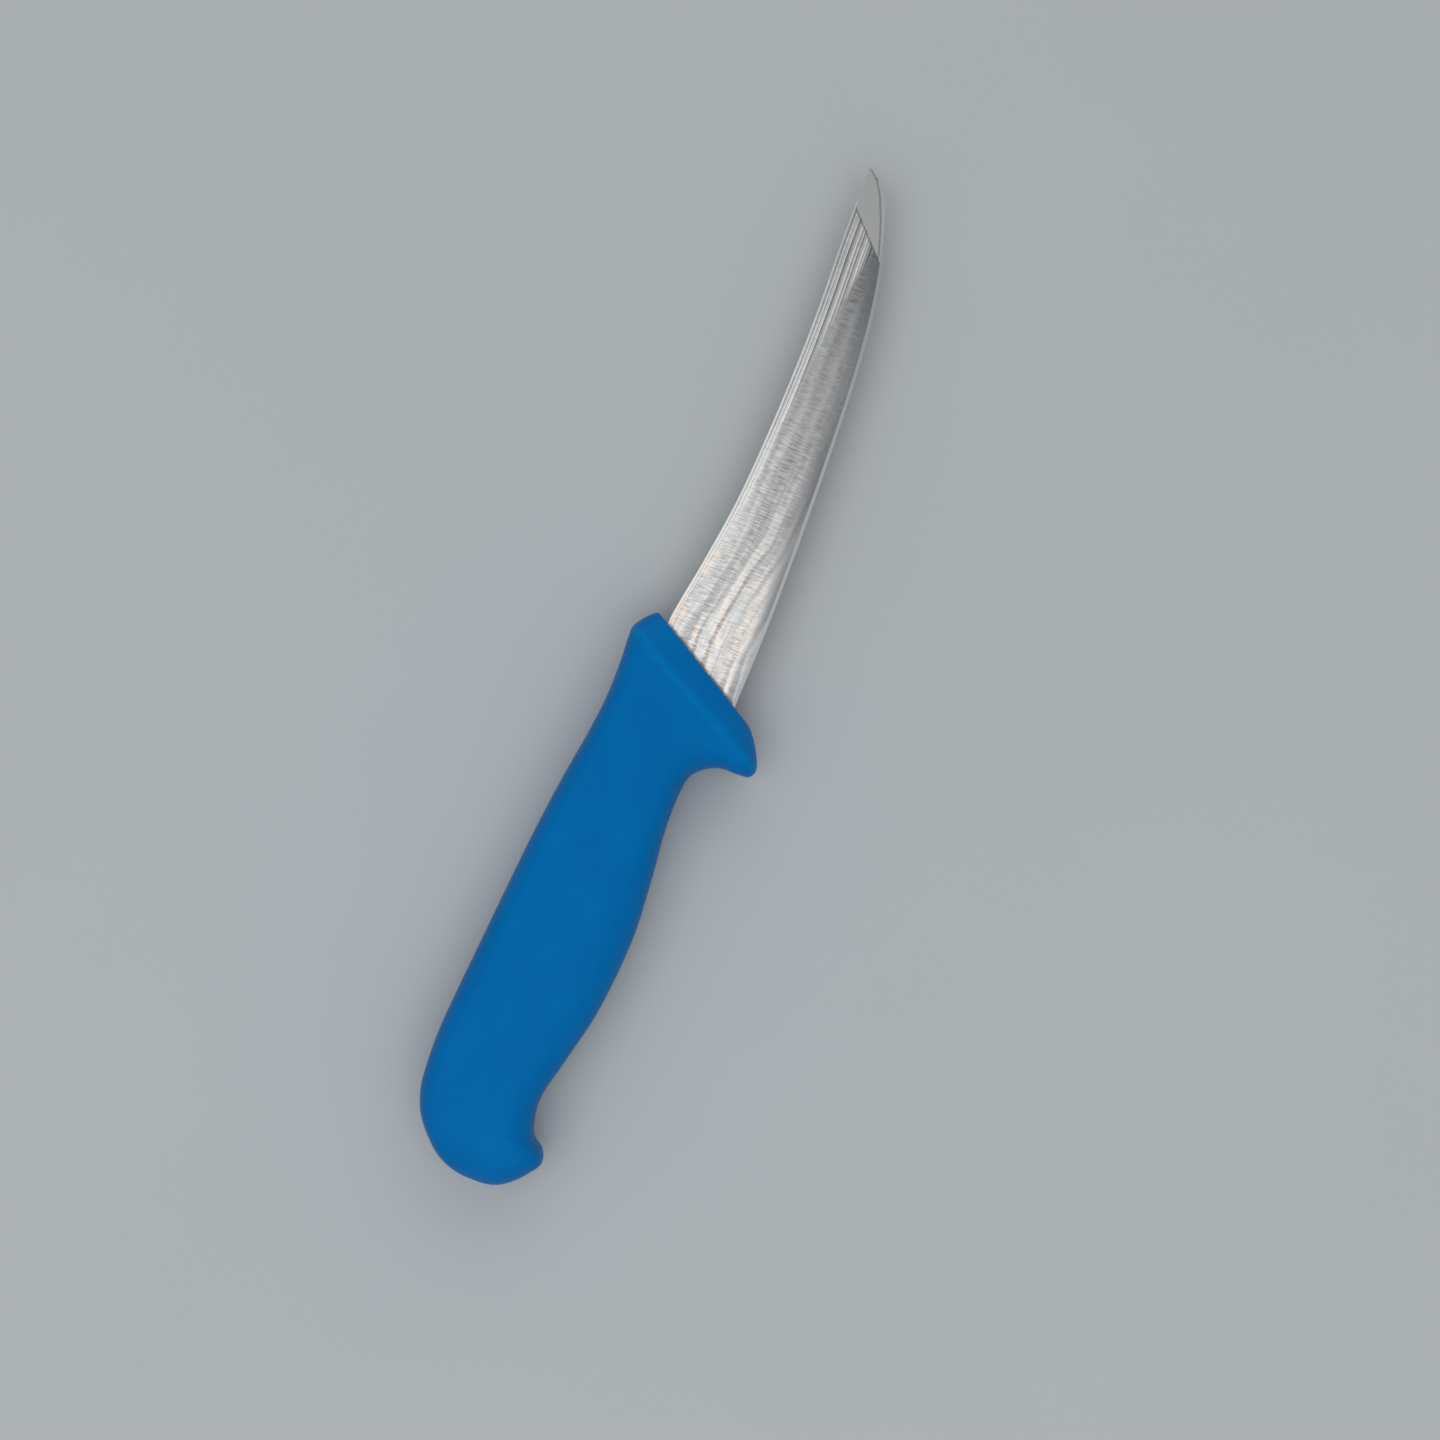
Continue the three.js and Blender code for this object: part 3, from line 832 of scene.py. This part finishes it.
class Finish:
    """A material, and the nodes that are added to it."""

    def __init__(self, name):
        self.material = bpy.data.materials.new(name)
        self.material.use_nodes = True
        self.tree = self.material.node_tree
        self.tree.nodes.clear()

    def node(self, kind, settings=None, inputs=None, output=0):
        """Adds a node with its settings and its sockets, and gives one of its outputs."""
        added = self.tree.nodes.new(kind)
        for name, value in (settings or {}).items():
            if name == "points":
                plot(added.mapping, value)
            else:
                setattr(added, name, value)
        for key, value in (inputs or {}).items():
            if isinstance(value, Value):
                self.tree.links.new(value.socket, added.inputs[key])
            else:
                added.inputs[key].default_value = value
        return Value(self, added.outputs[output]) if added.outputs else added

    def place(self):
        """Object coordinates in millimetres from the knife's own axis."""
        spot = self.node("ShaderNodeTexCoord", output="Object")
        spot = self.node("ShaderNodeVectorMath", {"operation": "SUBTRACT"}, {0: spot, 1: AXIS})
        spot = self.node("ShaderNodeVectorMath", {"operation": "SCALE"}, {0: spot, "Scale": 1 / MM})
        return [self.node("ShaderNodeSeparateXYZ", inputs={0: spot}, output=axis) for axis in "XYZ"]

    def follow(self, value, low, high, shape):
        """A number that follows a plotted function while a value goes from low to high."""
        steps = [step / PLOT_STEPS for step in range(PLOT_STEPS + 1)]
        heights = [shape(lerp(low, high, step)) for step in steps]
        bottom, top = min(heights), max(heights)
        points = [(step, (height - bottom) / (top - bottom)) for step, height in zip(steps, heights)]
        part = (value - low) / (high - low)
        curve = self.node("ShaderNodeFloatCurve", {"points": points}, {"Value": part})
        return curve * (top - bottom) + bottom

    def mark(self, name):
        """A number that is stored on the mesh."""
        return self.node("ShaderNodeAttribute", {"attribute_name": name}, output="Fac")

    def marks(self, kind, x, y, z):
        """Soft noise from 0 to 1, in the measure of one kind of marks."""
        places = {"X": x * kind.along, "Y": y * kind.across, "Z": z * kind.through + kind.seed}
        spot = self.node("ShaderNodeCombineXYZ", inputs=places)
        inputs = {"Vector": spot, "Scale": 1.0, "Detail": kind.detail, "Roughness": kind.roughness}
        return self.node("ShaderNodeTexNoise", inputs=inputs)

    def ramp(self, value, low, high, start, end):
        """A smooth rise from one value to another while a value goes from low to high."""
        inputs = {"Value": value, "From Min": low, "From Max": high, "To Min": start, "To Max": end}
        return self.node("ShaderNodeMapRange", {"interpolation_type": "SMOOTHSTEP"}, inputs)

    def bump(self, height, depth):
        """Fine relief of the surface."""
        return self.node("ShaderNodeBump", inputs={"Strength": 0.3, "Distance": depth, "Height": height})

    def mix(self, part, first, second):
        """A colour between two others."""
        return self.node("ShaderNodeMix", {"data_type": "RGBA"}, {0: part, 6: first, 7: second}, output=2)

    def shader(self, **inputs):
        """Adds the main shader. Its sockets are named in small letters."""
        sockets = {}
        for name, value in inputs.items():
            sockets[name.replace("_", " ").title().replace("Ior", "IOR")] = value
        return self.node("ShaderNodeBsdfPrincipled", inputs=sockets)

    def close(self, shader):
        """Connects a shader to the surface, and gives the finished material."""
        self.node("ShaderNodeOutputMaterial", inputs={"Surface": shader})
        return self.material


def rgba(values):
    """A colour with full cover."""
    return (*values, 1.0)


def swing(value):
    """A number from 0 to 1, as a swing to either side of 0."""
    return value - 0.5


def beside(x, y, start, end):
    """Distance in millimetres to the right of a line through two points of the side view."""
    run = (end - start).normalized()
    return (x - start.x / MM) * run.y - (y - start.y / MM) * run.x


# Marks on the steel, among them the painted reflections of its waves and its warm glints
SLOW_SWAY = Marks(0.04, 0.1, 0.1, 1)
QUICK_SWAY = Marks(0.17, 0.3, 0.1, 2)
WHEEL_WAVES = Marks(0.014, 0.45, 0.1, 3)
COARSE_GRAIN = Marks(2.4, 0.32, 0.1, 5, 2, 0.65)
FINE_SCRATCHES = Marks(6, 0.2, 0.1, 7, 2, 0.6)
SPINE_LINES = Marks(0.004, 3.4, 0.1, 11, 2, 0.6)
WARM_GLINTS = Marks(0.1, 0.36, 0.1, 21, 3, 0.65)

# Ramps over the noise of these marks, and over the brightness: from, to, and what they give there
WAVE_RAMP = (0.30, 0.70, 0, 1)
LINE_RAMP = (0.34, 0.66, 0, 1)
WARM_RAMP = (0.43, 0.61, 0, 1)
WARM_LIGHT = (0.3, 0.7, 0, 1)

# Ramps along the blade, in millimetres from the handle
HEEL_RAMP = (12, 82, 1, 0)
SLOPE_RISE = (5, 35, 0.06, 0.36)
SLOPE_FALL = (50, 85, 1, 0.65)
BAND_RISE = (0, 24, 0, 1)
GRAIN_FALL = (45, 85, 1, 0.5)
TIP_SHADE = (75, 105, 0, 0.10)
WARM_FALL = (4, 50, 0.95, 0)

# Ramps by the depth from the edge, the spine, the front of the handle or a border, in millimetres
BAND_RAMP = (2.4, 5, 1, 0)
STRIP_SHADE = (1, 3.4, 0.22, 0)
GLINT_RAMP = (0.2, 0.6, 0.32, 0)
BORDER_RISE = (0.2, 0.5, 0, 1)
# Painted shade next to the handle
HANDLE_SHADE = (0.1, 0.9, 0.5, 0)
BEVEL_RAMP = (-0.15, 0.05, 1, 0)
LINED_RAMP = (-0.8, 0.8, 1, 0)

# Ramps by the square of the distance from a thin line
BORDER_LINE = (0.01, 0.06, 1, 0)
DARK_EDGE_LINE = (0.01, 0.09, 1, 0)
PARTING_LINE = (0.01, 0.05, 1, 0)
RIDGE_LINE = (0.05, 2.4, 0.9, 0)

# Millimetres: sway of the waves, height of the painted dark line along the facet's edge, and how the lines
# along the spine widen to the facet
SWAY_REACH = 4
DARK_EDGE_DEPTH = 1.35
LINE_START = 1.5
LINE_SPREAD = 2.4
LINE_FAN = 5.5
FAN_REACH = 115

# Brightness of the steel, with its painted light and shade and its marks: 0 is its darkest marks and 1 is its
# plain colour
PLAIN_LIGHT = 0.315
HEEL_LIGHT = 0.185
WAVE_LIGHT = 0.13
HEEL_WAVE_LIGHT = 0.30
GRAIN_LIGHT = 0.95
GRAIN_SLOPE = 0.6
SCRATCH_LIGHT = 0.5
LINE_LIGHT = 0.11
LINE_SWING = 0.85
BAND_SHADE = 0.06
BORDER_SHADE = 0.8
DARK_EDGE_SHADE = 0.6

# How much the smooth band calms the waves and the grain, and the lines calm the grain
CALM_WAVES = 0.6
CALM_GRAIN = 0.85
CALM_LINED = 0.6

# Roughness of the ground faces and of the smooth ones, and relief of the marks
GROUND_ROUGHNESS = 0.33
GRAIN_ROUGHNESS = 0.22
BAND_GLOSS = 0.05
SMOOTH_ROUGHNESS = 0.36
SCRATCH_RELIEF = 0.6
LINE_RELIEF = 1.2
STEEL_RELIEF = 0.02 * MM


def blade_depths(knife, steel, x, y):
    """Distances in millimetres from the spine, straight down, and from the edge, square to it."""
    spine = spine_curve(knife)
    edge = edge_curve(knife)
    root = -knife.blade.root_depth / MM - PLOT_MARGIN
    point = knife.blade.length / MM

    def height(curve, place):
        return along(curve, place * MM).y / MM

    def upright(place):
        rise = height(edge, place + PLOT_PROBE / 2) - height(edge, place - PLOT_PROBE / 2)
        return 1 / math.hypot(1, rise / PLOT_PROBE)

    from_spine = steel.follow(x, root, point, lambda place: height(spine, place)) - y
    over_edge = y - steel.follow(x, root, point, lambda place: height(edge, place))
    return from_spine, over_edge * steel.follow(x, root, point, upright)


def ground_steel(knife):
    """Steel ground across the blade, with lines along its spine, a honed bevel, a smooth facet and painted
    light, shade and reflections.
    """
    colours = knife.finish
    steel = Finish("ground_steel")
    x, y, z = steel.place()
    from_spine, from_edge = blade_depths(knife, steel, x, y)
    across = swing(from_edge / (from_edge + from_spine))
    near_heel = steel.ramp(x, *HEEL_RAMP)
    near_edge = steel.ramp(from_edge, *BAND_RAMP)
    smooth_band = near_edge * steel.ramp(x, *BAND_RISE)
    facet = steel.mark("facet")
    bevel = steel.ramp(from_edge - knife.blade.bevel_width / MM, *BEVEL_RAMP)
    smooth = 1 - (1 - facet) * (1 - bevel)

    # Waves that the grinding wheel left along the blade, painted as the light and dark bands that their
    # ripples reflect, stronger at the heel
    sway = SWAY_REACH * swing(steel.marks(SLOW_SWAY, x, from_spine, z))
    sway += swing(steel.marks(QUICK_SWAY, x, from_spine, z))
    waves = steel.ramp(steel.marks(WHEEL_WAVES, x, from_spine + sway, z), *WAVE_RAMP)
    wave_light = (WAVE_LIGHT + HEEL_WAVE_LIGHT * near_heel) * (1 - CALM_WAVES * smooth_band)
    # Lines along the spine, which fan out over the whole face towards the point
    reach = x / FAN_REACH
    line_width = LINE_START + LINE_SPREAD * reach ** 2 + LINE_FAN * reach ** 6
    lined = steel.ramp(from_spine - line_width, *LINED_RAMP)
    lines = steel.ramp(steel.marks(SPINE_LINES, x, from_spine, z), *LINE_RAMP)
    # Scratches across the blade, coarse and fine
    grain = steel.marks(COARSE_GRAIN, x, from_spine, z)
    scratches = steel.marks(FINE_SCRATCHES, x, from_spine, z)
    rough_ground = (1 - CALM_GRAIN * smooth_band) * (1 - CALM_LINED * lined) * steel.ramp(x, *GRAIN_FALL)

    # Painted light and shade: a plain brightness that falls from the heel to the point and from the spine to
    # the edge
    slope = steel.ramp(x, *SLOPE_RISE) * steel.ramp(x, *SLOPE_FALL)
    light = PLAIN_LIGHT + HEEL_LIGHT * near_heel + slope * across
    # Painted shade above the bevel, near the point and where the blade meets the handle, and a painted glint
    # along the spine
    rake = knife.handle.front_rake
    from_front = (x - y * math.tan(rake)) * math.cos(rake)
    light -= near_heel * steel.ramp(from_edge, *STRIP_SHADE) + BAND_SHADE * smooth_band
    light -= steel.ramp(x, *TIP_SHADE) * (1 - lined) + steel.ramp(from_front, *HANDLE_SHADE)
    light += steel.ramp(from_spine, *GLINT_RAMP) * (1 - facet)
    # Marks of the grinding
    light += wave_light * swing(waves)
    light += rough_ground * (GRAIN_LIGHT + GRAIN_SLOPE * across) * swing(grain)
    light += rough_ground * SCRATCH_LIGHT * swing(scratches)
    light += lined * (LINE_LIGHT + LINE_SWING * swing(lines))

    base = steel.mix(light, rgba(colours.steel_shade), rgba(colours.steel))
    # Painted reflection: warm glints on the brighter steel near the handle
    warm_glint = steel.ramp(steel.marks(WARM_GLINTS, x, from_spine + sway, z), *WARM_RAMP)
    warm_glint *= steel.ramp(x, *WARM_FALL) * steel.ramp(light, *WARM_LIGHT)
    base = steel.mix(warm_glint, base, rgba(colours.steel_glint))
    base = steel.mix(facet, base, rgba(colours.facet))
    base = steel.mix(bevel, base, rgba(colours.bevel))
    # Painted shade: dark lines in the crease on the border of the facet and along its edge
    beyond = beside(x, y, *facet_border(knife))
    border = steel.ramp(beyond * beyond, *BORDER_LINE) * (1 - bevel) * steel.ramp(from_spine, *BORDER_RISE)
    over_dark_edge_line = from_edge - DARK_EDGE_DEPTH
    dark_edge_line = facet * steel.ramp(over_dark_edge_line * over_dark_edge_line, *DARK_EDGE_LINE)
    dark_lines = 1 - (1 - BORDER_SHADE * border) * (1 - DARK_EDGE_SHADE * dark_edge_line)
    base = steel.mix(dark_lines, base, rgba(colours.steel_shade))

    roughness = GROUND_ROUGHNESS + GRAIN_ROUGHNESS * swing(grain) - BAND_GLOSS * near_edge
    roughness += smooth * (SMOOTH_ROUGHNESS - roughness)
    height = rough_ground * (grain + SCRATCH_RELIEF * scratches) + LINE_RELIEF * lined * lines
    bump = steel.bump((1 - smooth) * height, STEEL_RELIEF)
    return steel.close(steel.shader(base_color=base, metallic=1.0, roughness=roughness, normal=bump))


# Marks on the plastic, and ramps from their noise to its rubbed paleness and to the breaks in its painted
# ridge highlight
PLASTIC_CLOUDS = Marks(0.06, 0.09, 0.09, 0, 3)
PLASTIC_GRAIN = Marks(4, 4, 4, 0, 2, 0.6)
PLASTIC_RUBS = Marks(0.5, 0.16, 0.3, 5, 3, 0.6)
CLOUD_PALE = (0.42, 0.7, 0, 0.35)
RUB_PALE = (0.6, 0.75, 0, 0.2)
RIDGE_HIGHLIGHT_BREAKS = (0.3, 0.6, 0.35, 1)

# Roughness of the plastic with its clouds and its grain, and relief of its parting line
SATIN_ROUGHNESS = 0.44
CLOUD_ROUGHNESS = 0.14
SPECK_ROUGHNESS = 0.10
PARTING_RELIEF = 2
PLASTIC_RELIEF = 0.012 * MM


def moulded_plastic(knife):
    """Satin blue plastic with a fine grain, a faint parting line, rubbed patches and a painted highlight
    along the collar's ridge.
    """
    colours = knife.finish
    plastic = Finish("moulded_plastic")
    x, y, z = plastic.place()
    clouds = plastic.marks(PLASTIC_CLOUDS, x, y, z)
    grain = plastic.marks(PLASTIC_GRAIN, x, y, z)
    rubs = plastic.marks(PLASTIC_RUBS, x, y, z)

    _, nose_top, _, guard_tip = collar_corners(knife)
    ridge = beside(x, y, guard_tip, nose_top)
    pale = plastic.ramp(clouds, *CLOUD_PALE) + plastic.ramp(rubs, *RUB_PALE)
    # Painted highlight: a pale line along the collar's ridge, broken up where the rubs are
    pale += plastic.ramp(ridge * ridge, *RIDGE_LINE) * plastic.ramp(rubs, *RIDGE_HIGHLIGHT_BREAKS)
    base = plastic.mix(pale, rgba(colours.plastic), rgba(colours.plastic_rubbed_and_lit))
    roughness = SATIN_ROUGHNESS + CLOUD_ROUGHNESS * swing(clouds) + SPECK_ROUGHNESS * swing(grain)
    height = grain + PARTING_RELIEF * plastic.ramp(z * z, *PARTING_LINE)
    bump = plastic.bump(height, PLASTIC_RELIEF)
    sheen = rgba(colours.plastic_sheen)
    shader = plastic.shader(
        base_color=base, roughness=roughness, normal=bump, specular_ior_level=0.1, specular_tint=sheen
    )
    return plastic.close(shader)


# Marks on the floor, and the tone of their darker side
FLOOR_CLOUDS = Marks(0.008, 0.008, 1, 0, 3)
FLOOR_SHADE = 0.95


def matt_floor(knife):
    """A plain pale floor with a faint unevenness, which runs into the backdrop far from the knife."""
    stage = knife.stage
    floor = Finish("matt_floor")
    x, y, z = floor.place()
    pale = rgba(stage.floor)
    grey = rgba([FLOOR_SHADE * value for value in stage.floor])
    base = floor.mix(floor.marks(FLOOR_CLOUDS, x, y, z), grey, pale)
    near = floor.shader(base_color=base, roughness=0.9, specular_ior_level=0.1)
    far = floor.node("ShaderNodeEmission", inputs={"Color": pale})
    distance = (x * x + y * y) * MM * MM
    fade = floor.ramp(distance, stage.floor_near ** 2, stage.floor_far ** 2, 0, 1)
    return floor.close(floor.node("ShaderNodeMixShader", inputs={0: fade, 1: near, 2: far}))


# Stage

def lay_floor(knife):
    """Adds the floor just under the knife."""
    bpy.ops.object.select_all(action="DESELECT")
    bpy.ops.mesh.primitive_plane_add(size=knife.stage.floor_size)
    floor = bpy.context.object
    floor.name = "stage_floor"
    bpy.ops.object.mode_set(mode="EDIT")
    bpy.ops.mesh.subdivide(number_cuts=FLOOR_CUTS)
    bpy.ops.transform.translate(value=(0, 0, CAD_LOW.z - FLOOR_GAP))
    bpy.ops.object.mode_set(mode="OBJECT")
    floor.data.materials.append(matt_floor(knife))


def add_softbox(name, place, target, sides, power):
    """Adds a large soft light that faces a place."""
    bpy.ops.object.light_add(type="AREA", location=place)
    lamp = bpy.context.object
    lamp.name = name
    lamp.rotation_euler = (Vector(target) - Vector(place)).to_track_quat("-Z", "Y").to_euler()
    lamp.visible_camera = False
    lamp.data.shape = "RECTANGLE"
    lamp.data.size, lamp.data.size_y = sides
    lamp.data.energy = power


def light_stage(knife):
    """Adds the light of the backdrop, which is all round, and two soft boxes."""
    world = bpy.data.worlds.new("studio")
    world.use_nodes = True
    background = world.node_tree.nodes["Background"]
    background.inputs["Color"].default_value = rgba(knife.stage.floor)
    bpy.context.scene.world = world
    add_softbox("soft_top", *TOP_BOX, knife.stage.top_power)
    add_softbox("soft_side", *SIDE_BOX, knife.stage.side_power)


def place_camera(knife):
    """Looks straight down on the knife, with its axis leaning as in the picture."""
    stage = knife.stage
    place = Vector((stage.view_along, stage.view_aside, AXIS.z + stage.camera_height))
    bpy.ops.object.camera_add(location=place, rotation=(0, 0, -stage.view_turn))
    camera = bpy.context.object
    camera.name = "stage_camera"
    camera.data.sensor_fit = "HORIZONTAL"
    camera.data.lens = camera.data.sensor_width * stage.camera_height / stage.view_width
    bpy.context.scene.camera = camera
    bpy.context.scene.view_settings.view_transform = "Standard"


# Operators and panel

class KNIFE_OT_make_blade(bpy.types.Operator):
    """Models the ground steel blade and its tang"""

    bl_idname = "knife.make_blade"
    bl_label = "Make Blade"

    def execute(self, context):
        knife = context.scene.knife
        piece = blade_blank(knife)
        grind_facets(knife, piece)
        mark_facets(knife, piece)
        hand_over(piece, "blade", ground_steel(knife), BLADE_CREASE)
        return {"FINISHED"}


class KNIFE_OT_make_handle(bpy.types.Operator):
    """Models the moulded plastic handle"""

    bl_idname = "knife.make_handle"
    bl_label = "Make Handle"

    def execute(self, context):
        knife = context.scene.knife
        piece = moulded_body(knife)
        combine(piece, tang_space(knife), "DIFFERENCE")
        hand_over(piece, "handle", moulded_plastic(knife), HANDLE_CREASE)
        return {"FINISHED"}


class KNIFE_OT_set_stage(bpy.types.Operator):
    """Lays the floor and sets up the light and the camera"""

    bl_idname = "knife.set_stage"
    bl_label = "Set Stage"

    def execute(self, context):
        knife = context.scene.knife
        lay_floor(knife)
        light_stage(knife)
        place_camera(knife)
        return {"FINISHED"}


class KNIFE_PT_sidebar(bpy.types.Panel):
    """Lists the sizes, the colours and the steps of the knife"""

    bl_idname = "KNIFE_PT_sidebar"
    bl_label = "Boning Knife"
    bl_space_type = "VIEW_3D"
    bl_region_type = "UI"
    bl_category = "Knife"

    def draw(self, context):
        knife = context.scene.knife
        for operator in (KNIFE_OT_make_blade, KNIFE_OT_make_handle, KNIFE_OT_set_stage):
            self.layout.operator(operator.bl_idname)
        for group in (knife.blade, knife.handle, knife.finish, knife.stage):
            box = self.layout.box()
            for name in group.bl_rna.properties.keys():
                if name not in ("rna_type", "name"):
                    box.prop(group, name)


CLASSES = (
    KNIFE_PG_blade, KNIFE_PG_handle, KNIFE_PG_finish, KNIFE_PG_stage, KNIFE_PG_knife,
    KNIFE_OT_make_blade, KNIFE_OT_make_handle, KNIFE_OT_set_stage, KNIFE_PT_sidebar,
)


def register():
    for cls in CLASSES:
        bpy.utils.register_class(cls)
    bpy.types.Scene.knife = PointerProperty(type=KNIFE_PG_knife)


def unregister():
    del bpy.types.Scene.knife
    for cls in reversed(CLASSES):
        bpy.utils.unregister_class(cls)


def main():
    register()
    bpy.ops.knife.make_blade()
    bpy.ops.knife.make_handle()
    bpy.ops.knife.set_stage()


if __name__ == "__main__":
    main()
